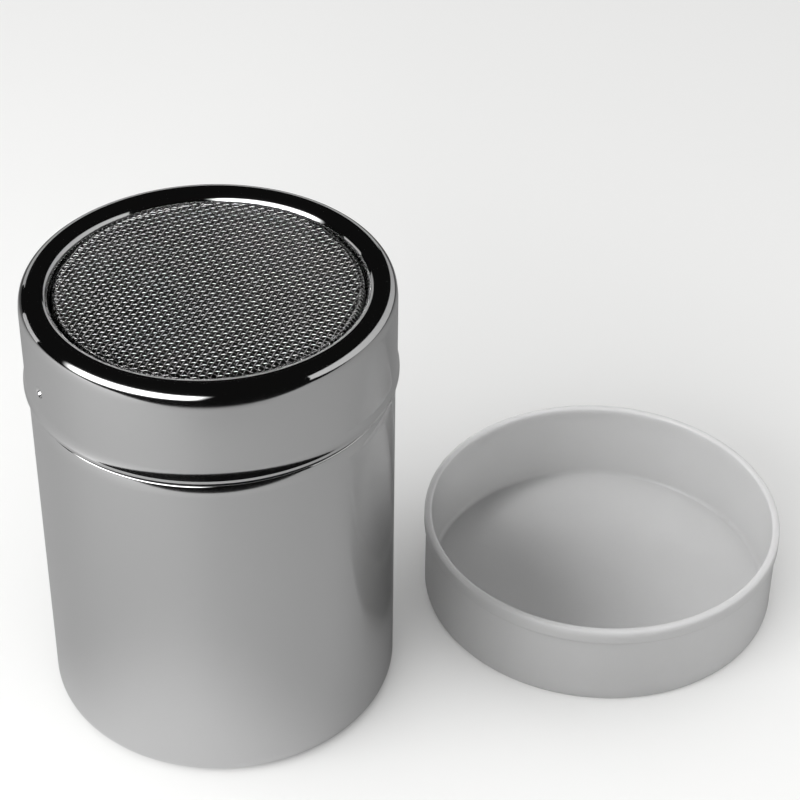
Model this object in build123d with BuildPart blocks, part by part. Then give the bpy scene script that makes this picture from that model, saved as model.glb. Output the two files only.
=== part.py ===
"""Mesh-top shaker for powdered sugar, flour or ground spice, with its dust cap set down beside it.

A drawn steel cup carries a drawn steel lid. The lid's round window holds a tray of woven wire, gripped
at its turned-down edge between the lid's lip and a retaining ring. Two pips pressed into the lid's collar
reach almost to the cup's neck, where they run under its thread. The plastic cap lies mouth up.

Millimetres, +Z up. The origin is the centre of the cup's base, on the table.
"""

import os
from math import ceil, cos, radians, sin, sqrt, tan

from build123d import *

# Shaker
OVERALL_HEIGHT = 94.5
LID_RADIUS = 35.0
COLLAR_HEIGHT = 20.0  # from the lid's top down to the lower edge of its collar
SHEET = 0.5  # gauge of the steel sheet
CORNER_FLAT = 3.0  # longest of the flats that round a corner off

# Cup
BODY_INSET = 0.35  # the body is this much slimmer than the lid
BASE_CORNER = 3.5
FOOT_WIDTH = 2.2  # of the flat ring that the cup stands on
BASE_RECESS = 1.2
TAPER_HEIGHT = 3.0  # the body draws in a little just under its shoulder
TAPER = 0.35
COLLAR_GAP = 0.5  # between the shoulder and the collar's lower edge

# Lid shell
TOP_CORNER = 2.8
RIM_WIDTH = 5.4  # from the collar in to the window
LIP_CORNER = 1.8
LIP_DEPTH = 3.2  # of the lip that turns down round the window
FLARE = 0.42  # how far the collar's curled lower edge stands out
FLARE_HEIGHT = 3.2

# Pips that hold the lid
PIP_RADIUS = 1.1
PIP_DROP = 12.9  # from the lid's top down to the pips' middle
PIP_ANGLE = 205.6  # degrees round to one pip; the other is opposite
PIP_CLEARANCE = 0.3  # between a pip and the neck

# Tray of woven wire
WIRE = 0.25
MESH_PITCH = 1.0
MESH_TURN = -20.0  # degrees from the X axis to the first family of wires
MESH_SINK = 1.1  # from the lid's top down to the tray's
TRAY_DEPTH = 1.9  # of the tray's turned-down edge
TRAY_CLEARANCE = 0.1  # between the tray's edge and the lip, and the ring inside it
LAYER_CLEARANCE = 0.02  # between the two families of wires

# Retaining ring
RING_DEPTH = 4.6  # from the lid's top down to the ring's flange
RING_HEADROOM = 0.3  # between the ring's upstand and the wires above it
RING_CLEARANCE = 0.1  # between the flange and the collar
SEAT_CLEARANCE = 0.1  # between the flange and the cup's mouth under it

# Dust cap
CAP_HEIGHT = 19.4
CAP_WALL = 1.2
CAP_CORNER = 1.0
CAP_CLEARANCE = 0.58  # all round the collar's lower edge, with the cap on
MOUTH_BAND = 0.4  # the band round the mouth stands out this much
MOUTH_HEIGHT = 3.0
CAP_STANDOFF = 9.4  # between the shaker and the cap set down beside it
CAP_BEARING = 11.6  # degrees from the X axis

# Radii and levels that several pieces share
EDGE_RADIUS = LID_RADIUS + FLARE
COLLAR_EDGE = OVERALL_HEIGHT - COLLAR_HEIGHT
COLLAR_BORE = LID_RADIUS - SHEET
WINDOW_RADIUS = LID_RADIUS - RIM_WIDTH
PIP_REACH = PIP_RADIUS + SHEET
NECK_RADIUS = LID_RADIUS - PIP_REACH - PIP_CLEARANCE
RING_TOP = OVERALL_HEIGHT - RING_DEPTH
NECK_TOP = RING_TOP - SHEET - SEAT_CLEARANCE


def around(angle, radius, height=0.0):
    """Point at an angle round the Z axis."""
    return Vector(radius * cos(radians(angle)), radius * sin(radians(angle)), height)


def round_off(before, corner, after, radius):
    """Points that round one corner off in equal flats."""
    back = (Vector(before) - Vector(corner)).normalized()
    ahead = (Vector(after) - Vector(corner)).normalized()
    reach = radius / tan(radians(back.get_angle(ahead)) / 2)
    arc = TangentArc(corner + back * reach, corner + ahead * reach, tangent=-back)
    flats = ceil(arc.length / CORNER_FLAT)
    return [arc @ (step / flats) for step in range(flats + 1)]


def sheet_section(plane, outline, corners, gauge):
    """Section of an even sheet whose outer face follows the outline, with the corners given a radius rounded off."""
    points = [outline[0]]
    for before, corner, after in zip(outline, outline[1:], outline[2:]):
        radius = corners.get(corner)
        points += round_off(before, corner, after, radius) if radius else [corner]
    points.append(outline[-1])
    with BuildSketch(plane) as section:
        with BuildLine():
            Polyline(*points)
            offset(amount=gauge, side=Side.LEFT, kind=Kind.INTERSECTION)
        make_face()
    return section.sketch


# --- Cup: recessed base, straight body, shoulder and neck ---

body_radius = LID_RADIUS - BODY_INSET
shoulder_radius = body_radius - TAPER
shoulder = COLLAR_EDGE - COLLAR_GAP
foot_radius = body_radius - BASE_CORNER - FOOT_WIDTH
base_corner = (body_radius, 0)
cup_outline = [
    (0, BASE_RECESS),
    (foot_radius - BASE_RECESS, BASE_RECESS),
    (foot_radius, 0),
    base_corner,
    (body_radius, shoulder - TAPER_HEIGHT),
    (shoulder_radius, shoulder),
    (NECK_RADIUS, shoulder),
    (NECK_RADIUS, NECK_TOP),
]

with BuildPart() as cup:
    revolve(sheet_section(Plane.XZ, cup_outline, {base_corner: BASE_CORNER}, SHEET), axis=Axis.Z)
cup.part.label = "cup"

# --- Lid shell: collar with a flared edge and two pips, rounded rim, lip turned down round the window ---

top_corner = (LID_RADIUS, OVERALL_HEIGHT)
lip_corner = (WINDOW_RADIUS, OVERALL_HEIGHT)
lid_outline = [
    (LID_RADIUS, COLLAR_EDGE),
    top_corner,
    lip_corner,
    (WINDOW_RADIUS, OVERALL_HEIGHT - LIP_DEPTH),
]
lid_corners = {top_corner: TOP_CORNER, lip_corner: LIP_CORNER}

with BuildPart() as lid_shell:
    revolve(sheet_section(Plane.XZ, lid_outline, lid_corners, SHEET), axis=Axis.Z)
    with BuildSketch(Plane.XZ):
        with BuildLine():
            Polyline(
                (COLLAR_BORE, COLLAR_EDGE),
                (EDGE_RADIUS, COLLAR_EDGE),
                (LID_RADIUS, COLLAR_EDGE + FLARE_HEIGHT),
                (COLLAR_BORE, COLLAR_EDGE + FLARE_HEIGHT),
                close=True,
            )
        make_face()
    revolve(axis=Axis.Z)
    for angle in (PIP_ANGLE, PIP_ANGLE + 180):
        pip_middle = around(angle, LID_RADIUS, OVERALL_HEIGHT - PIP_DROP)
        outward = Plane(pip_middle, x_dir=(0, 0, 1), z_dir=around(angle, 1))
        with BuildSketch(outward.offset(-SHEET / 2)):
            Circle(PIP_REACH)
        extrude(amount=SHEET / 2 - PIP_REACH)
        with BuildSketch(outward.offset(SHEET)):
            Circle(PIP_RADIUS)
        extrude(amount=-SHEET - PIP_RADIUS, mode=Mode.SUBTRACT)
lid_shell.part.label = "lid_shell"

# --- Tray of woven wire: two families at right angles, every wire turned down at both ends ---

wire_corner = WIRE / sqrt(2)  # from a wire's middle out to its corner
warp_radius = WINDOW_RADIUS - TRAY_CLEARANCE - wire_corner
warp_level = OVERALL_HEIGHT - MESH_SINK - WIRE / 2
weft_radius = warp_radius - 2 * wire_corner - LAYER_CLEARANCE
weft_level = warp_level - WIRE - LAYER_CLEARANCE
wire_end = OVERALL_HEIGHT - MESH_SINK - TRAY_DEPTH


def turned_wires(turn, radius, level):
    """Parallel wires that span a circle at one level, each turned down where it meets the edge."""
    count = int(sqrt(radius**2 - MESH_PITCH**2) / MESH_PITCH)  # on each side of the middle one
    along = Plane.XZ.rotated((0, 0, turn))
    top = level + WIRE / 2
    with BuildPart() as wires:
        for step in range(-count, count + 1):
            span = 2 * sqrt(radius**2 - (step * MESH_PITCH) ** 2)
            with BuildSketch(along.offset(step * MESH_PITCH)):
                with Locations((0, (wire_end + top) / 2)):
                    Rectangle(span + WIRE, top - wire_end)
                with Locations((0, (wire_end + top - WIRE) / 2)):
                    Rectangle(span - WIRE, top - WIRE - wire_end, mode=Mode.SUBTRACT)
        extrude(amount=WIRE / 2, both=True)
    return wires.part


with BuildPart() as mesh_warp_wires:
    add(turned_wires(MESH_TURN, warp_radius, warp_level))
mesh_warp_wires.part.label = "mesh_warp_wires"

with BuildPart() as mesh_weft_wires:
    add(turned_wires(MESH_TURN + 90, weft_radius, weft_level))
mesh_weft_wires.part.label = "mesh_weft_wires"

# --- Retaining ring: flange across the lid's bore, upstand inside the tray's turned-down edge ---

upstand_radius = weft_radius - wire_corner - TRAY_CLEARANCE
ring_outline = [
    (COLLAR_BORE - RING_CLEARANCE, RING_TOP),
    (upstand_radius, RING_TOP),
    (upstand_radius, weft_level - WIRE / 2 - RING_HEADROOM),
]

with BuildPart() as mesh_retaining_ring:
    revolve(sheet_section(Plane.XZ, ring_outline, {}, SHEET), axis=Axis.Z)
mesh_retaining_ring.part.label = "mesh_retaining_ring"

# --- Dust cap: plain floor and wall that slip over the lid, with a thicker band round the mouth ---

cap_radius = EDGE_RADIUS + CAP_CLEARANCE + CAP_WALL
mouth_radius = cap_radius + MOUTH_BAND
band_edge = CAP_HEIGHT - MOUTH_HEIGHT
cap_centre = around(CAP_BEARING, EDGE_RADIUS + CAP_STANDOFF + mouth_radius)

with BuildPart() as cap:
    with BuildSketch(Plane(cap_centre, x_dir=(1, 0, 0), z_dir=(0, -1, 0))):
        with BuildLine():
            Polyline(
                (0, 0),
                (cap_radius, 0),
                (cap_radius, band_edge - MOUTH_BAND),
                (mouth_radius, band_edge),
                (mouth_radius, CAP_HEIGHT),
                (cap_radius - CAP_WALL, CAP_HEIGHT),
                (cap_radius - CAP_WALL, CAP_WALL),
                (0, CAP_WALL),
                close=True,
            )
        make_face()
    revolve(axis=Axis(cap_centre, (0, 0, 1)))
    chamfer(cap.faces().sort_by(Axis.Z)[0].edges(), CAP_CORNER)
cap.part.label = "cap"

os.makedirs("parts", exist_ok=True)
for piece in (cup, lid_shell, mesh_warp_wires, mesh_weft_wires, mesh_retaining_ring, cap):
    export_step(piece.part, f"parts/{piece.part.label}.step")
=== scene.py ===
# %% [markdown]
# # A mesh-top shaker and its dust cap
#
# This is a kitchen shaker for powdered sugar, cocoa or ground spice. A drawn steel cup carries a drawn
# steel lid, and the lid's round window holds a shallow tray of woven wire. A soft translucent plastic cap
# lies mouth up beside it. The solid model gives every size and place, and this lesson gives the looks:
# sheet steel with rounded corners, real woven wire, and milky plastic.

# %% Load the solid model
from math import atan2, ceil, cos, degrees, exp, hypot, pi, radians, sin, sqrt, tan

import bmesh
import bpy
from mathutils import Matrix, Vector


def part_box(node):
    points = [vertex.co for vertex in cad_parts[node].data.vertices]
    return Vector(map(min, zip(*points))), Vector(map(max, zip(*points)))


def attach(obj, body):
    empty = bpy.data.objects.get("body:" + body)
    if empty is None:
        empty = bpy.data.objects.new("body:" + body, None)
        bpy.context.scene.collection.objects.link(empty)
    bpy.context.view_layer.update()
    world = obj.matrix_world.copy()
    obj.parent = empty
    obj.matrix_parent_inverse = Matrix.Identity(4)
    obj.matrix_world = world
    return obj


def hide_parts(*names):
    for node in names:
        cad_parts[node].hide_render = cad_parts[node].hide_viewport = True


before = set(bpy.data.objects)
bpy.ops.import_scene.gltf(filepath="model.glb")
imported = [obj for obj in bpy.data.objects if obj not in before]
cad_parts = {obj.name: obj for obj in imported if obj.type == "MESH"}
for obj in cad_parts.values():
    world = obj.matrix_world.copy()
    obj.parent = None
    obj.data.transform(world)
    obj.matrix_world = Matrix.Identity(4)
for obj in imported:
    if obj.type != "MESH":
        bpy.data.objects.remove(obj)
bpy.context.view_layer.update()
MM = 0.001

# %% [markdown]
# ## Camera
#
# A product is usually shot with a long lens from a little way off, looking down on it, so that its walls
# stay nearly upright. Three turns set the camera: yaw to one side, pitch down and a slight roll. Turning
# about one axis at a time is easier to read than a matrix of nine numbers.

# %% Place the camera
YAW, PITCH, ROLL = 0.101966, 0.648433, 0.012902
CAMERA_PLACE = (0, -0.3491, 0.3303)

scene = bpy.context.scene
camera_data = bpy.data.cameras.new("camera")
camera_data.sensor_width = 36.0
camera_data.lens = 102.67
camera_data.clip_start = 0.01
camera = bpy.data.objects.new("camera", camera_data)
scene.collection.objects.link(camera)
camera.matrix_world = (
    Matrix.Translation(CAMERA_PLACE)
    @ Matrix.Rotation(-YAW, 4, "Z")
    @ Matrix.Rotation(pi / 2 - PITCH, 4, "X")
    @ Matrix.Rotation(ROLL, 4, "Z")
)
scene.camera = camera
scene.view_settings.view_transform = "Standard"
print("camera looks down by", round(degrees(PITCH), 1), "degrees through a", camera_data.lens, "mm lens")

# %% [markdown]
# ## Colours and nodes
#
# Colours are picked on a screen, so they are written as sRGB hex codes, and one function turns them
# to the linear values that shaders take. Another adds a node with its settings and links in one line.

# %% Colour and node helpers
def linear(code):
    """Linear red, green, blue and alpha of an sRGB hex colour."""
    channels = [int(code[at:at + 2], 16) / 255 for at in (1, 3, 5)]
    return [c / 12.92 if c <= 0.04045 else ((c + 0.055) / 1.055) ** 2.4 for c in channels] + [1.0]


def add_node(tree, kind, inputs=(), **settings):
    """Adds a node, gives it its settings, and fills its inputs with values or with other nodes' outputs."""
    node = tree.nodes.new(kind)
    for name, value in settings.items():
        setattr(node, name, value)
    for socket, value in dict(inputs).items():
        if isinstance(value, bpy.types.NodeSocket):
            tree.links.new(value, node.inputs[socket])
        else:
            node.inputs[socket].default_value = value
    return node


def new_material(name):
    """An empty node material."""
    material = bpy.data.materials.new(name)
    material.use_nodes = True
    material.node_tree.nodes.clear()
    return material


print("mid grey #808080 is", round(linear("#808080")[0], 3), "in linear light")

# %% [markdown]
# ## Floor, table top and cards
#
# Polished steel has hardly a look of its own: it shows what stands round it. So a stage for it is built
# twice. The camera sees one pale floor. Reflections see a table top and three white cards instead, which
# can then be placed for the sake of the steel alone. The table top ends not far in front of the shaker, so
# the flared edge of the lid mirrors the dark beyond it. Its paint carries painted light and shade: a paler
# patch just in front of the shaker, a painted pool of light that brightens the foot of the cup, and painted
# shade that darkens it behind. Each card, at the right, at the left and behind, is placed for the streak of
# light that it draws on the steel.

# %% Make the floor, the table top and the cards
TABLE_FRONT = 0.203
CLOUDS_PER_METRE = 6.0  # of the paint's faint unevenness
PAINTED_SHADE_BEHIND = (0.06, 0.3, 1.0, 0.25)  # painted shade: metres behind the axis between which the tone changes, and both tones
PAINTED_LIGHT_POOL = (0.012, 0.05, 1.45, 1.0)  # painted pool of light: the same, from the middle of the paler patch outwards
# middle of the painted pool of light
LIGHT_POOL_MIDDLE = (-0.012, -0.032, 0)


def flat_sheet(name, low, high, level=0.0):
    """A flat rectangle from one corner to the other."""
    shape = bmesh.new()
    bmesh.ops.create_grid(shape, x_segments=1, y_segments=1, size=0.5)
    bmesh.ops.scale(shape, vec=(high[0] - low[0], high[1] - low[1], 1), verts=shape.verts)
    middle = ((low[0] + high[0]) / 2, (low[1] + high[1]) / 2, level)
    bmesh.ops.translate(shape, vec=middle, verts=shape.verts)
    mesh = bpy.data.meshes.new(name)
    shape.to_mesh(mesh)
    shape.free()
    sheet = bpy.data.objects.new(name, mesh)
    scene.collection.objects.link(sheet)
    return sheet


def pale_paint(name, colour, roughness, glow=0.0, shades=None):
    """Pale, faintly uneven paint. It can glow, and shades, which paint light and shade, can change its tone
    from place to place.
    """
    material = new_material(name)
    tree = material.node_tree
    place = add_node(tree, "ShaderNodeTexCoord").outputs["Object"]
    cloud = add_node(tree, "ShaderNodeTexNoise", {"Vector": place, "Scale": CLOUDS_PER_METRE})
    uneven = {"Value": cloud.outputs["Fac"], "To Min": 0.97, "To Max": 1.0}
    tone = add_node(tree, "ShaderNodeMapRange", uneven).outputs[0]
    for measure, near, far, near_tone, far_tone in shades(tree, place) if shades else ():
        ramp = {"Value": measure, "From Min": near, "From Max": far, "To Min": near_tone, "To Max": far_tone}
        shade = add_node(tree, "ShaderNodeMapRange", ramp, interpolation_type="SMOOTHSTEP")
        both = {0: tone, 1: shade.outputs[0]}
        tone = add_node(tree, "ShaderNodeMath", both, operation="MULTIPLY").outputs[0]
    paint = add_node(
        tree, "ShaderNodeVectorMath", {0: linear(colour)[:3], "Scale": tone}, operation="SCALE"
    ).outputs[0]
    surface = add_node(
        tree,
        "ShaderNodeBsdfPrincipled",
        {"Base Color": paint, "Roughness": roughness, "Emission Color": paint, "Emission Strength": glow},
    )
    add_node(tree, "ShaderNodeOutputMaterial", {"Surface": surface.outputs[0]})
    return material


def table_painted_light_and_shade(tree, place):
    """Painted shade darkens the table top behind the shaker, and a painted pool of light makes it paler in a
    round patch in front of it.
    """
    across = add_node(tree, "ShaderNodeSeparateXYZ", {0: place})
    away = add_node(tree, "ShaderNodeVectorMath", {0: place, 1: LIGHT_POOL_MIDDLE}, operation="DISTANCE")
    return (across.outputs["Y"], *PAINTED_SHADE_BEHIND), (away.outputs["Value"], *PAINTED_LIGHT_POOL)


def standing_card(name, azimuth, distance, middle, height, low, high, lean=0.0):
    """An upright card that faces the shaker. Its width goes from low to high, and it may lean to a side."""
    card = flat_sheet(name, (-height / 2, low), (height / 2, high))
    card.data.transform(
        Matrix.Rotation(radians(azimuth), 4, "Z")
        @ Matrix.Translation((distance, 0, middle))
        @ Matrix.Rotation(radians(lean), 4, "X")
        @ Matrix.Rotation(-pi / 2, 4, "Y")
    )
    card.data.materials.append(card_paint)
    return card


floor = flat_sheet("floor", (-3, -3), (3, 3))
floor.data.materials.append(pale_paint("white_painted_board", "#F4F4F3", 0.45))
floor.visible_glossy = False
table_top = flat_sheet("table_top", (-1.5, -TABLE_FRONT), (1.5, 1.2), level=0.1 * MM)
# The table top's paint carries a painted pool of light in front of the shaker and painted shade behind it.
table_top.data.materials.append(pale_paint("grey_board_painted_light_and_shade", "#D4D4D4", 0.9, shades=table_painted_light_and_shade))
card_paint = pale_paint("white_painted_card", "#E6E6E6", 0.9, glow=0.12)
cards = [
    standing_card("right_card", 0, 0.5, middle=0.23, height=0.32, low=-0.36, high=1.3, lean=-8),
    standing_card("left_card", 150, 0.55, middle=0.12, height=0.18, low=-0.1, high=0.1),
    standing_card("back_card", 90, 1.15, middle=0.2, height=0.4, low=-0.5, high=0.75),
]
for board in (table_top, *cards):
    for seen_by in ("visible_camera", "visible_diffuse", "visible_transmission", "visible_shadow"):
        setattr(board, seen_by, False)
print("table top ends", TABLE_FRONT, "m in front of the shaker, and", len(cards), "cards stand round it")

# %% [markdown]
# ## Room and lights
#
# The room is dark to reflections, so that the rim shines black, and pale to everything else, which fills
# the shadows. The table top and the cards, mirrored in the steel, are lit by a room in between. One large
# softbox at the front left is the key light. A studio puts a small black flag between a light and any piece
# that it spoils, and light linking does the same here: the key light would wash out the fine mesh and glare
# on the cap, so both are flagged off it, and each has lights of its own instead.

# %% Light the room
ROOM_PALE, ROOM_INDIRECT, ROOM_DARK = 0.85, 0.36, 0.006

world = bpy.data.worlds.new("room")
world.use_nodes = True
world.node_tree.nodes.clear()
ray = add_node(world.node_tree, "ShaderNodeLightPath")
reflected = add_node(
    world.node_tree,
    "ShaderNodeMapRange",
    {"Value": ray.outputs["Is Diffuse Ray"], "To Min": ROOM_DARK, "To Max": ROOM_INDIRECT},
)
strength = add_node(
    world.node_tree,
    "ShaderNodeMapRange",
    {"Value": ray.outputs["Glossy Depth"], "To Min": ROOM_PALE, "To Max": reflected.outputs[0]},
)
room = add_node(
    world.node_tree, "ShaderNodeBackground", {"Color": linear("#FFFFFF"), "Strength": strength.outputs[0]}
)
add_node(world.node_tree, "ShaderNodeOutputWorld", {"Surface": room.outputs[0]})
scene.world = world
print("room is", ROOM_PALE, "bright, and", ROOM_DARK, "in reflections")

# %% Place the softboxes
LIGHT_AIM = 0.09  # height that the lights face, about the lid's
SOFT_EDGES = {"X": 0.2, "Y": 0.3}  # share of each side over which a softbox fades out


def softbox(name, azimuth, elevation, distance, width, height, radiance, mirrored=True):
    """A soft rectangular light that faces the shaker, given by how bright its face is in the middle."""
    light = bpy.data.lights.new(name, "AREA")
    light.shape = "RECTANGLE"
    light.size, light.size_y = width, height
    light.energy = radiance * pi * width * height
    light.use_nodes = True
    tree = light.node_tree
    tree.nodes.clear()
    face = add_node(tree, "ShaderNodeNewGeometry")
    across = add_node(tree, "ShaderNodeSeparateXYZ", {0: face.outputs["Parametric"]})
    glow = 1.0
    for side, fade in SOFT_EDGES.items():
        offset = add_node(tree, "ShaderNodeMath", {0: across.outputs[side], 1: 0.5}, operation="SUBTRACT")
        outward = add_node(tree, "ShaderNodeMath", {0: offset.outputs[0]}, operation="ABSOLUTE")
        ramp = {"Value": outward.outputs[0], "From Min": 0.5, "From Max": 0.5 - fade}
        edge = add_node(tree, "ShaderNodeMapRange", ramp, interpolation_type="SMOOTHSTEP")
        both = {0: glow, 1: edge.outputs[0]}
        glow = add_node(tree, "ShaderNodeMath", both, operation="MULTIPLY").outputs[0]
    lamp = add_node(tree, "ShaderNodeEmission", {"Strength": glow})
    add_node(tree, "ShaderNodeOutputLight", {"Surface": lamp.outputs[0]})
    box = bpy.data.objects.new(name, light)
    scene.collection.objects.link(box)
    turn, level = radians(azimuth), radians(elevation)
    out = Vector((cos(turn) * cos(level), sin(turn) * cos(level), sin(level)))
    box.location = Vector((0, 0, LIGHT_AIM)) + out * distance
    box.rotation_euler = out.to_track_quat("Z", "Y").to_euler()
    box.visible_camera = False
    box.visible_glossy = mirrored
    print(name, "gives", round(light.energy, 1), "W")
    return box


def set_flag(piece, light, state):
    """Sets a flag between a light and a piece: the light reaches only such pieces, or all but them."""
    flagged = light.light_linking.receiver_collection or bpy.data.collections.new(light.name + "_flag")
    light.light_linking.receiver_collection = flagged
    flagged.objects.link(piece)
    flagged.collection_objects[-1].light_linking.link_state = state


def light_apart(piece, own_lights):
    """Keeps the key light off a piece and gives it lights of its own."""
    for light in own_lights:
        set_flag(piece, light, "INCLUDE")
    set_flag(piece, key_light, "EXCLUDE")


key_light = softbox("key_softbox", 223, 21, 0.60, width=1.1, height=0.5, radiance=4.4)
cap_light = softbox("cap_softbox", 190, 62, 0.70, width=0.3, height=0.3, radiance=44, mirrored=False)
mesh_lights = [
    softbox("mesh_softbox", 211, 24, 0.60, width=0.62, height=0.4, radiance=9.5),
    softbox("mesh_side_softbox", 38, 34, 0.60, width=0.5, height=0.4, radiance=1.6),
]

# %% [markdown]
# ## Polished stainless sheet
#
# The cup, the lid and the ring are drawn stainless steel: sheet pressed to shape in a die, then polished
# while it spins. The polishing leaves scratches too fine to see, all running round the axis, and they
# smear every reflection up and down. That is anisotropy. Its direction comes from the cross product of the
# axis and the place on the piece. Where the sheet turns away from the upright wall, at the rim, the lip
# and the flare, the wheel hardly scuffs it and it stays a mirror. The wheel doesn't reach the inside of the
# cup or its shoulder, so they keep the rougher skin that drawing gives. Their steel is also painted dark
# grey: painted shade for the hollow of the closed cup and for the gap under the lid's collar.

# %% Make the sheet steel
LINE_SPACING = 0.3  # mm; real polishing lines are a few hundredths apart, and these are coarser so as to show
LINES_DRIFT = 25  # changes of the pattern per metre round the piece, so that the lines run long


def sheet_steel(name, colour, scuffed, mirror):
    """Stainless sheet, polished round its axis, with one roughness on its wall and another on its corners."""
    material = new_material(name)
    tree = material.node_tree
    place = add_node(tree, "ShaderNodeTexCoord")
    around = add_node(
        tree,
        "ShaderNodeVectorMath",
        {0: (0, 0, 1), 1: place.outputs["Object"]},
        operation="CROSS_PRODUCT",
    )
    turned = add_node(tree, "ShaderNodeSeparateXYZ", {0: place.outputs["Normal"]})
    tilt = add_node(tree, "ShaderNodeMath", {0: turned.outputs["Z"]}, operation="ABSOLUTE")
    smooth = add_node(
        tree,
        "ShaderNodeMapRange",
        {"Value": tilt.outputs[0], "From Min": 0.02, "From Max": 0.14, "To Min": scuffed, "To Max": mirror},
        interpolation_type="SMOOTHSTEP",
    )
    lines = add_node(
        tree,
        "ShaderNodeMapping",
        {"Vector": place.outputs["Object"], "Scale": (LINES_DRIFT, LINES_DRIFT, 1 / (LINE_SPACING * MM))},
    )
    grain = add_node(
        tree,
        "ShaderNodeTexNoise",
        {"Vector": lines.outputs[0], "Scale": 1.0, "Detail": 2.0, "Roughness": 0.6},
    )
    uneven = add_node(
        tree,
        "ShaderNodeMapRange",
        {"Value": grain.outputs["Fac"], "From Min": 0.25, "From Max": 0.75, "To Min": 0.97, "To Max": 1.03},
    )
    roughness = add_node(
        tree, "ShaderNodeMath", {0: smooth.outputs[0], 1: uneven.outputs[0]}, operation="MULTIPLY"
    )
    bump = add_node(
        tree,
        "ShaderNodeBump",
        {"Height": grain.outputs["Fac"], "Strength": 0.01, "Distance": 0.002 * MM},
    )
    surface = add_node(
        tree,
        "ShaderNodeBsdfPrincipled",
        {
            "Base Color": linear(colour),
            "Metallic": 1.0,
            "Roughness": roughness.outputs[0],
            "Anisotropic": 0.9,
            "Anisotropic Rotation": 0.25,
            "Tangent": around.outputs[0],
            "Normal": bump.outputs[0],
        },
    )
    add_node(tree, "ShaderNodeOutputMaterial", {"Surface": surface.outputs[0]})
    return material


steel = sheet_steel("stainless_sheet_polished", "#D4D4D4", scuffed=0.18, mirror=0.07)
# The second steel is rougher and painted dark grey, a painted shade for the cup's hollow and the gap under
# the collar.
dull_and_shaded_steel = sheet_steel("stainless_sheet_dull_painted_shade", "#4C4C4C", scuffed=0.5, mirror=0.45)
print("made", steel.name, "and", dull_and_shaded_steel.name)

# %% [markdown]
# ## Drawn stainless wire
#
# The mesh is woven from wire pulled through a die. It is bright and round, with faint die lines, and each
# crown of the weave catches one small highlight. So its roughness is low and only slightly uneven.

# %% Make the wire steel
WIRE = 0.2  # thickness in millimetres


def drawn_wire(name):
    """Bright round stainless wire, slightly uneven from one wire's width to the next."""
    material = new_material(name)
    tree = material.node_tree
    place = add_node(tree, "ShaderNodeTexCoord")
    patches = add_node(
        tree, "ShaderNodeTexNoise", {"Vector": place.outputs["Object"], "Scale": 1 / (WIRE * MM)}
    )
    roughness = add_node(
        tree,
        "ShaderNodeMapRange",
        {"Value": patches.outputs["Fac"], "From Min": 0.3, "From Max": 0.7, "To Min": 0.08, "To Max": 0.14},
    )
    surface = add_node(
        tree,
        "ShaderNodeBsdfPrincipled",
        {"Base Color": linear("#D2D2D2"), "Metallic": 1.0, "Roughness": roughness.outputs[0]},
    )
    add_node(tree, "ShaderNodeOutputMaterial", {"Surface": surface.outputs[0]})
    return material


wire_steel = drawn_wire("stainless_wire_drawn")
print("made", wire_steel.name)

# %% [markdown]
# ## Moulded polyethylene
#
# The cap is low-density polyethylene, moulded about a millimetre thick. It is soft and waxy, lets light
# through but blurs it, and its moulded skin still shines. Light that sinks in and comes out again nearby,
# some transmission through a rough body, and a smooth clear skin give that.

# %% Make the cap's plastic
FLOW_MARKS = 14  # mm from one faint flow mark of the moulding to the next


def moulded_polyethylene(name):
    """Milky, translucent soft plastic with a smooth skin."""
    material = new_material(name)
    tree = material.node_tree
    place = add_node(tree, "ShaderNodeTexCoord")
    flow = add_node(
        tree,
        "ShaderNodeTexNoise",
        {"Vector": place.outputs["Object"], "Scale": 1 / (FLOW_MARKS * MM), "Detail": 3.0},
    )
    tone = add_node(
        tree,
        "ShaderNodeMix",
        {0: flow.outputs["Fac"], 6: linear("#C4C4C4"), 7: linear("#CACACA")},
        data_type="RGBA",
    )
    ripple = add_node(
        tree, "ShaderNodeBump", {"Height": flow.outputs["Fac"], "Strength": 0.15, "Distance": 0.3 * MM}
    )
    surface = add_node(
        tree,
        "ShaderNodeBsdfPrincipled",
        {
            "Base Color": tone.outputs[2],
            "Roughness": 0.32,
            "IOR": 1.51,
            "Transmission Weight": 0.3,
            "Subsurface Weight": 1.0,
            "Subsurface Radius": (1.0, 1.0, 1.0),
            "Subsurface Scale": 4 * MM,
            "Coat Weight": 0.4,
            "Coat Roughness": 0.08,
            "Normal": ripple.outputs[0],
        },
    )
    add_node(tree, "ShaderNodeOutputMaterial", {"Surface": surface.outputs[0]})
    return material


cap_plastic = moulded_polyethylene("polyethylene_moulded")
print("made", cap_plastic.name)

# %% [markdown]
# ## From an outline to a turned piece
#
# Everything drawn or turned on a lathe has one section all the way round. So a piece starts as a chain of
# a few points, which is its section, with its wall's real thickness from the start. Vertex bevels round the
# corners, as the press tool's radii do, and a full spin makes the wall. The chain is open when it starts and
# ends on the axis, and closed when the piece is a ring.

# %% Outline and spin helpers
ARC_STEP = 0.3  # mm between the points of a rounded corner
RING_STEP = 0.3  # mm between the cuts of a wall that a small shape is pressed into
TURN_STEPS = 256


def round_corner(shape, before, corner, after, radius):
    """Rounds one corner of an outline. The bevel's reach follows from how far the corner turns."""
    turn = (corner.co - before).angle(after - corner.co)
    segments = max(3, ceil(radius * turn / ARC_STEP))
    bmesh.ops.bevel(
        shape,
        geom=[corner],
        offset=radius * MM * tan(turn / 2),
        offset_type="OFFSET",
        segments=segments,
        profile=0.5,
        affect="VERTICES",
        material=-1,
    )


def weld(shape):
    """Joins points that coincide, and turns all faces outward."""
    bmesh.ops.remove_doubles(shape, verts=shape.verts, dist=0.0001 * MM)
    bmesh.ops.recalc_face_normals(shape, faces=shape.faces)


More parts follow.
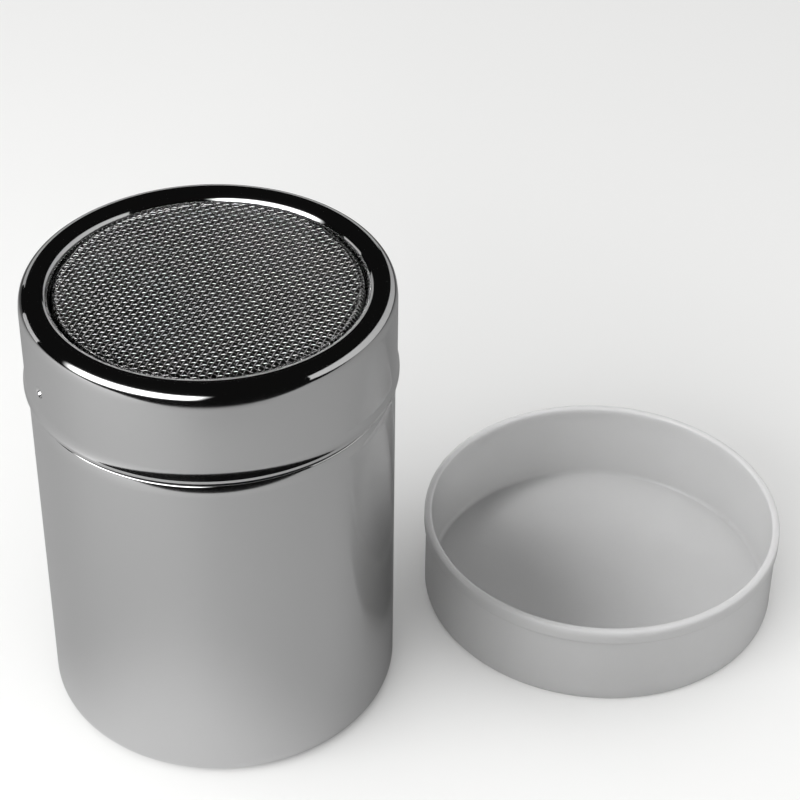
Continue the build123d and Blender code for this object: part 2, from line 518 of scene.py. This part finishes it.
def spin_outline(points, closed):
    """Spins a section round the Z axis. Each point is (radius, height, corner radius) in millimetres."""
    shape = bmesh.new()
    places = [Vector((radius * MM, 0, height * MM)) for radius, height, _ in points]
    corners = [shape.verts.new(place) for place in places]
    for one, two in zip(corners, corners[1:]):
        shape.edges.new((one, two))
    if closed:
        shape.edges.new((corners[-1], corners[0]))
    for at, corner in enumerate(corners):
        if points[at][2]:
            round_corner(shape, places[at - 1], corner, places[(at + 1) % len(places)], points[at][2])
    bmesh.ops.spin(
        shape,
        geom=shape.verts[:] + shape.edges[:],
        cent=(0, 0, 0),
        axis=(0, 0, 1),
        angle=2 * pi,
        steps=TURN_STEPS,
        use_merge=True,
    )
    weld(shape)
    return shape


def add_rings(shape, low, high):
    """Cuts a turned piece at even heights, so that a small shape can be pressed into its wall."""
    for count in range(int((high - low) / RING_STEP) + 1):
        bmesh.ops.bisect_plane(
            shape,
            geom=shape.verts[:] + shape.edges[:] + shape.faces[:],
            plane_co=(0, 0, (low + count * RING_STEP) * MM),
            plane_no=(0, 0, 1),
        )


def push_out(corner, distance):
    """Moves a corner of a turned piece away from the axis, by a distance in millimetres."""
    stretch = 1 + distance * MM / hypot(corner.co.x, corner.co.y)
    corner.co.x *= stretch
    corner.co.y *= stretch


def smooth_step(value):
    """Rises softly from 0 to 1 as the value does."""
    value = min(max(value, 0.0), 1.0)
    return value * value * (3 - 2 * value)


def finish_piece(name, shape, material, body, slot, *nodes, crease=35):
    """Turns a shape into the finished piece that stands for CAD nodes and rides on their body."""
    mesh = bpy.data.meshes.new(name)
    shape.to_mesh(mesh)
    shape.free()
    mesh.shade_smooth()
    mesh.set_sharp_from_angle(angle=radians(crease))
    mesh.materials.append(material)
    piece = bpy.data.objects.new(name, mesh)
    scene.collection.objects.link(piece)
    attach(piece, body)
    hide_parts(*nodes)
    print(name, "has", len(mesh.polygons), "faces")
    return piece


print("a full turn has", TURN_STEPS, "columns of faces")

# %% [markdown]
# ## Cup
#
# The cup is drawn from one disc: a shallow recess in the base so that it stands on a ring, a generous base
# corner, a straight wall that draws in a little at the top, a shoulder, and a narrower neck that the lid's
# collar hides. Two ridges are rolled into the neck as a short thread, and the lid's pips run under them.
# The ridges are pushed out of the neck's own wall, inside and outside together, as rolling does.

# %% Shape the cup
SHEET = 0.5
BODY_RADIUS, SHOULDER_RADIUS, NECK_RADIUS = 34.65, 34.4, 33.1
RECESS, RECESS_RADIUS, FOOT_RADIUS = 1.2, 27.75, 28.95
TAPER_START, SHOULDER, MOUTH = 70.8, 73.4, 89.3
FOOT_FOLD = 0.2  # how much further out the base's inside face turns than its outside face
cup_outline = [
    (0, RECESS, 0),
    (RECESS_RADIUS, RECESS, 0.8),
    (FOOT_RADIUS, 0, 0.8),
    (BODY_RADIUS, 0, 3.5),
    (BODY_RADIUS, TAPER_START, 6),
    (SHOULDER_RADIUS, SHOULDER, 0.4),
    (NECK_RADIUS, SHOULDER, 0.3),
    (NECK_RADIUS, MOUTH, 0.15),
    (NECK_RADIUS - SHEET, MOUTH, 0.15),
    (NECK_RADIUS - SHEET, SHOULDER - SHEET, 0.4),
    (SHOULDER_RADIUS - SHEET, SHOULDER - SHEET, 0.2),
    (BODY_RADIUS - SHEET, TAPER_START, 6),
    (BODY_RADIUS - SHEET, SHEET, 3.0),
    (FOOT_RADIUS + FOOT_FOLD, SHEET, 0.8),
    (RECESS_RADIUS + FOOT_FOLD, RECESS + SHEET, 0.8),
    (0, RECESS + SHEET, 0),
]
cup_shape = spin_outline(cup_outline, closed=False)
print("cup wall is", SHEET, "mm thick")

# %% Roll the thread into the neck
PIP_ANGLE, PIP_LEVEL = 205.6, 81.6
THREAD_LOW, THREAD_HIGH = 83.2, 88.6  # the part of the neck that is cut into rings for the thread
RIDGE_SWEEP, RIDGE_LOW, RIDGE_RISE = 140.0, 84.7, 2.4
RIDGE_HALF_WIDTH, RIDGE_HEIGHT = 1.1, 0.7
RIDGE_FADE = 0.06  # share of a ridge's length over which each end runs out
DULL_AND_SHADED_SLOT, UPWARD = 1, 0.9  # the slot of the rougher steel that is painted dark as shade, and the least upward slope of a face that takes it


def ridge_height(angle, level):
    """How far the neck's wall stands out at one place, in millimetres."""
    for pip in (PIP_ANGLE, PIP_ANGLE + 180):
        along = ((angle - pip - (180 - RIDGE_SWEEP) / 2) % 360) / RIDGE_SWEEP
        if along < 1:
            ends = smooth_step(along / RIDGE_FADE) * smooth_step((1 - along) / RIDGE_FADE)
            across = abs(level - RIDGE_LOW - RIDGE_RISE * along) / RIDGE_HALF_WIDTH
            return RIDGE_HEIGHT * ends * smooth_step(1 - across)
    return 0.0


add_rings(cup_shape, THREAD_LOW, THREAD_HIGH)
for corner in cup_shape.verts:
    if corner.co.z > (THREAD_LOW - RING_STEP / 2) * MM:
        push_out(corner, ridge_height(degrees(atan2(corner.co.y, corner.co.x)), corner.co.z / MM))
cup_shape.normal_update()
# Faces that look inward or up take the rougher steel painted dark: painted shade inside the cup and on the
# shoulder under the collar.
for face in cup_shape.faces:
    middle = face.calc_center_median()
    looks_inward = face.normal.x * middle.x + face.normal.y * middle.y < 0
    face.material_index = DULL_AND_SHADED_SLOT if looks_inward or face.normal.z > UPWARD else 0
cup = finish_piece("cup_drawn", cup_shape, steel, "cup", "steel_sheet", "cup")
cup.data.materials.append(dull_and_shaded_steel)

# %% [markdown]
# ## Lid shell
#
# The lid is drawn the other way up: a straight collar, a rounded top corner, a rim that starts flat and dips
# to the window, and a lip that turns down round it. The collar's lower edge is flared and curled to a small
# bead, so that it doesn't cut. Its section is a closed loop: out and up the outside, over the rim and down
# the lip, then back along the inside.

# %% Shape the lid shell
LID_RADIUS, LID_TOP, COLLAR_EDGE = 35.0, 94.5, 74.5
EDGE_RADIUS, BEAD, FLARE_TOP = 35.4, 0.75, 1.93
COLLAR_TOP = LID_TOP - 3.0
RIM_OUTSIDE, RIM_INSIDE = 34.36, 32.2
RIM_FOLD = 0.4  # how much nearer to the axis the rim's inside face turns than its outside face
WINDOW_RADIUS, LIP_EDGE = 29.25, LID_TOP - 3.2
RIM_DIP, LIP_SLANT = 0.35, 0.05
lid_outline = [
    (LID_RADIUS - SHEET, COLLAR_EDGE, 0.3),
    (EDGE_RADIUS, COLLAR_EDGE, 0.35),
    (EDGE_RADIUS, COLLAR_EDGE + BEAD, 0.3),
    (LID_RADIUS, COLLAR_EDGE + FLARE_TOP, 6.3),
    (LID_RADIUS, COLLAR_TOP, 8.0),
    (RIM_OUTSIDE, LID_TOP, 2.6),
    (RIM_INSIDE, LID_TOP, 1.0),
    (WINDOW_RADIUS + LIP_SLANT, LID_TOP - RIM_DIP, 2.3),
    (WINDOW_RADIUS, LIP_EDGE, 0.1),
    (WINDOW_RADIUS + SHEET, LIP_EDGE, 0.1),
    (WINDOW_RADIUS + SHEET + LIP_SLANT, LID_TOP - RIM_DIP - SHEET, 1.8),
    (RIM_INSIDE, LID_TOP - SHEET, 0.5),
    (RIM_OUTSIDE - RIM_FOLD, LID_TOP - SHEET, 2.1),
    (LID_RADIUS - SHEET, COLLAR_TOP, 7.5),
]
lid_shape = spin_outline(lid_outline, closed=True)
print("collar is", LID_TOP - COLLAR_EDGE, "mm high")

# %% Press the two pips into the collar
PIP_HALF_WIDTH, PIP_DEPTH = 1.35, 1.1
PIP_BAND = 2.1  # how far above and below the pips the collar is cut into rings
DISH_REACH, DISH_WIDTH, DISH_DEPTH = 6, 2.2, 0.05  # of the faint dish round each pip
COLLAR_INSIDE = 33  # everything further out belongs to the collar
CROWDING = 0.7  # how strongly the columns of faces gather at the pips

add_rings(lid_shape, PIP_LEVEL - PIP_BAND, PIP_LEVEL + PIP_BAND)
for corner in lid_shape.verts:
    past_pip = atan2(corner.co.y, corner.co.x) - radians(PIP_ANGLE)
    corner.co.rotate(Matrix.Rotation(-CROWDING / 2 * sin(2 * past_pip), 3, "Z"))
for corner in lid_shape.verts:
    for pip in (radians(PIP_ANGLE), radians(PIP_ANGLE + 180)):
        across = corner.co.y * cos(pip) - corner.co.x * sin(pip)
        facing = corner.co.x * cos(pip) + corner.co.y * sin(pip)
        away = hypot(across, corner.co.z - PIP_LEVEL * MM) / MM
        if facing > 0 and hypot(corner.co.x, corner.co.y) > COLLAR_INSIDE * MM and away < DISH_REACH:
            dish = DISH_DEPTH * exp(-((away / DISH_WIDTH) ** 2))
            push_out(corner, -PIP_DEPTH * smooth_step(1 - away / PIP_HALF_WIDTH) - dish)
finish_piece("lid_shell_drawn", lid_shape, steel, "lid", "steel_sheet", "lid_shell")

# %% [markdown]
# ## Woven wire tray
#
# The cloth is a plain weave: each wire goes over one crossing wire and under the next, and the crossing
# family does the opposite. The cloth is pressed to a shallow tray, so every wire turns down at both ends
# and hides inside the lip. One curve for each family, with a spline for each wire and a round bevel, is
# the natural way to model wire, and it is turned to a mesh when it is done.

# %% Weave the two families of wire
MESH_PITCH, MESH_TURN = 1.0, -24.0
TRAY_RADIUS, TRAY_LEVEL = 28.85, 92.9
TRAY_CORNER, TRAY_DEPTH = 1.3, 1.5
CORNER_TURNS = (pi / 8, pi / 4, pi * 3 / 8, pi / 2)  # of the points round a wire's bend
WEFT_INSET = 0.3  # the weft wires turn down this much nearer to the middle, so they clear the warp's ends
WARP_CRIMP, WEFT_CRIMP = 0.16, 0.08  # how far the wires wave; the sum is more than a wire's thickness
SAMPLES = 4  # points for each crossing


def wire_path(half, index, crimp):
    """(along, height) points of one wire in millimetres: turned-down end, weave, turned-down end."""
    flat = half - TRAY_CORNER
    crossings = int(flat / MESH_PITCH * SAMPLES)
    weave = []
    for count in range(-crossings, crossings + 1):
        along = count * MESH_PITCH / SAMPLES
        weave.append((along, TRAY_LEVEL + crimp * cos(pi * (along / MESH_PITCH + index))))
    end = [
        (flat + TRAY_CORNER * sin(turn), TRAY_LEVEL - TRAY_CORNER * (1 - cos(turn))) for turn in CORNER_TURNS
    ]
    end.append((half, TRAY_LEVEL - TRAY_DEPTH))
    start = [(-along, height) for along, height in reversed(end)]
    return start + weave + end


def woven_family(name, turn, crimp, radius):
    """All the parallel wires of one family, as one shape."""
    curve = bpy.data.curves.new(name, "CURVE")
    curve.dimensions = "3D"
    curve.bevel_depth = WIRE / 2 * MM
    curve.bevel_resolution = 1
    curve.use_fill_caps = True
    direction, sideways = Vector((cos(turn), sin(turn), 0)), Vector((-sin(turn), cos(turn), 0))
    reach = int(sqrt(radius**2 - MESH_PITCH**2) / MESH_PITCH)
    for index in range(-reach, reach + 1):
        path = wire_path(sqrt(radius**2 - (index * MESH_PITCH) ** 2), index, crimp)
        spline = curve.splines.new("POLY")
        spline.points.add(len(path) - 1)
        for point, (along, height) in zip(spline.points, path):
            place = direction * along + sideways * index * MESH_PITCH + Vector((0, 0, height))
            point.co = (*(place * MM), 1.0)
    drawn = bpy.data.objects.new(name + "_curve", curve)
    scene.collection.objects.link(drawn)
    bpy.context.view_layer.update()
    mesh = bpy.data.meshes.new_from_object(drawn.evaluated_get(bpy.context.evaluated_depsgraph_get()))
    bpy.data.objects.remove(drawn)
    shape = bmesh.new()
    shape.from_mesh(mesh)
    bpy.data.meshes.remove(mesh)
    weld(shape)
    print(name, "has", 2 * reach + 1, "wires")
    return shape


for family, turn, crimp, radius in (
    ("warp", MESH_TURN, WARP_CRIMP, TRAY_RADIUS),
    ("weft", MESH_TURN + 90, -WEFT_CRIMP, TRAY_RADIUS - WEFT_INSET),
):
    name = "mesh_" + family
    cloth = woven_family(name, radians(turn), crimp, radius)
    woven = finish_piece(
        name + "_woven", cloth, wire_steel, "lid", "steel_wire", name + "_wires", crease=80
    )
    light_apart(woven, mesh_lights)

# %% [markdown]
# ## Retaining ring
#
# Under the lid a pressed ring closes off the sheet steel's hollow and grips the tray's turned-down edge.
# It is seen when the lid is lifted. Its section is an L with a rounded bend.

# %% Shape the retaining ring
FLANGE_RADIUS, FLANGE_TOP = 34.4, 89.9
UPSTAND_RADIUS, UPSTAND_TOP = 28.25, 92.3
ring_outline = [
    (FLANGE_RADIUS, FLANGE_TOP, 0.1),
    (UPSTAND_RADIUS, FLANGE_TOP, 0.3),
    (UPSTAND_RADIUS, UPSTAND_TOP, 0.1),
    (UPSTAND_RADIUS - SHEET, UPSTAND_TOP, 0.1),
    (UPSTAND_RADIUS - SHEET, FLANGE_TOP - SHEET, 0.8),
    (FLANGE_RADIUS, FLANGE_TOP - SHEET, 0.1),
]
ring_shape = spin_outline(ring_outline, closed=True)
finish_piece("retaining_ring_pressed", ring_shape, steel, "lid", "steel_sheet", "mesh_retaining_ring")

# %% [markdown]
# ## Dust cap
#
# The cap is a shallow moulding: a flat floor, an upright wall and a slightly thicker band round the mouth
# that stops it splitting when it is pulled off. It lies mouth up, so the inside shows. It is turned on its
# own axis at the origin and then moved to where the solid cap lies.

# %% Shape the dust cap
CAP_RADIUS, MOUTH_RADIUS, CAP_BORE = 37.2, 37.6, 36.0
CAP_HEIGHT, CAP_FLOOR, BAND_EDGE = 19.4, 1.2, 16.4
cap_outline = [
    (0, 0, 0),
    (CAP_RADIUS, 0, 1.6),
    (CAP_RADIUS, BAND_EDGE + CAP_RADIUS - MOUTH_RADIUS, 0.5),
    (MOUTH_RADIUS, BAND_EDGE, 0.5),
    (MOUTH_RADIUS, CAP_HEIGHT, 0.5),
    (CAP_BORE, CAP_HEIGHT, 0.5),
    (CAP_BORE, CAP_FLOOR, 1.0),
    (0, CAP_FLOOR, 0),
]
cap_shape = spin_outline(cap_outline, closed=False)
cap_low, cap_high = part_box("cap")
cap_middle = (cap_low + cap_high) / 2
bmesh.ops.translate(cap_shape, vec=(cap_middle.x, cap_middle.y, 0), verts=cap_shape.verts)
dust_cap = finish_piece("dust_cap_moulded", cap_shape, cap_plastic, "cap", "cap_plastic", "cap")
light_apart(dust_cap, [cap_light])
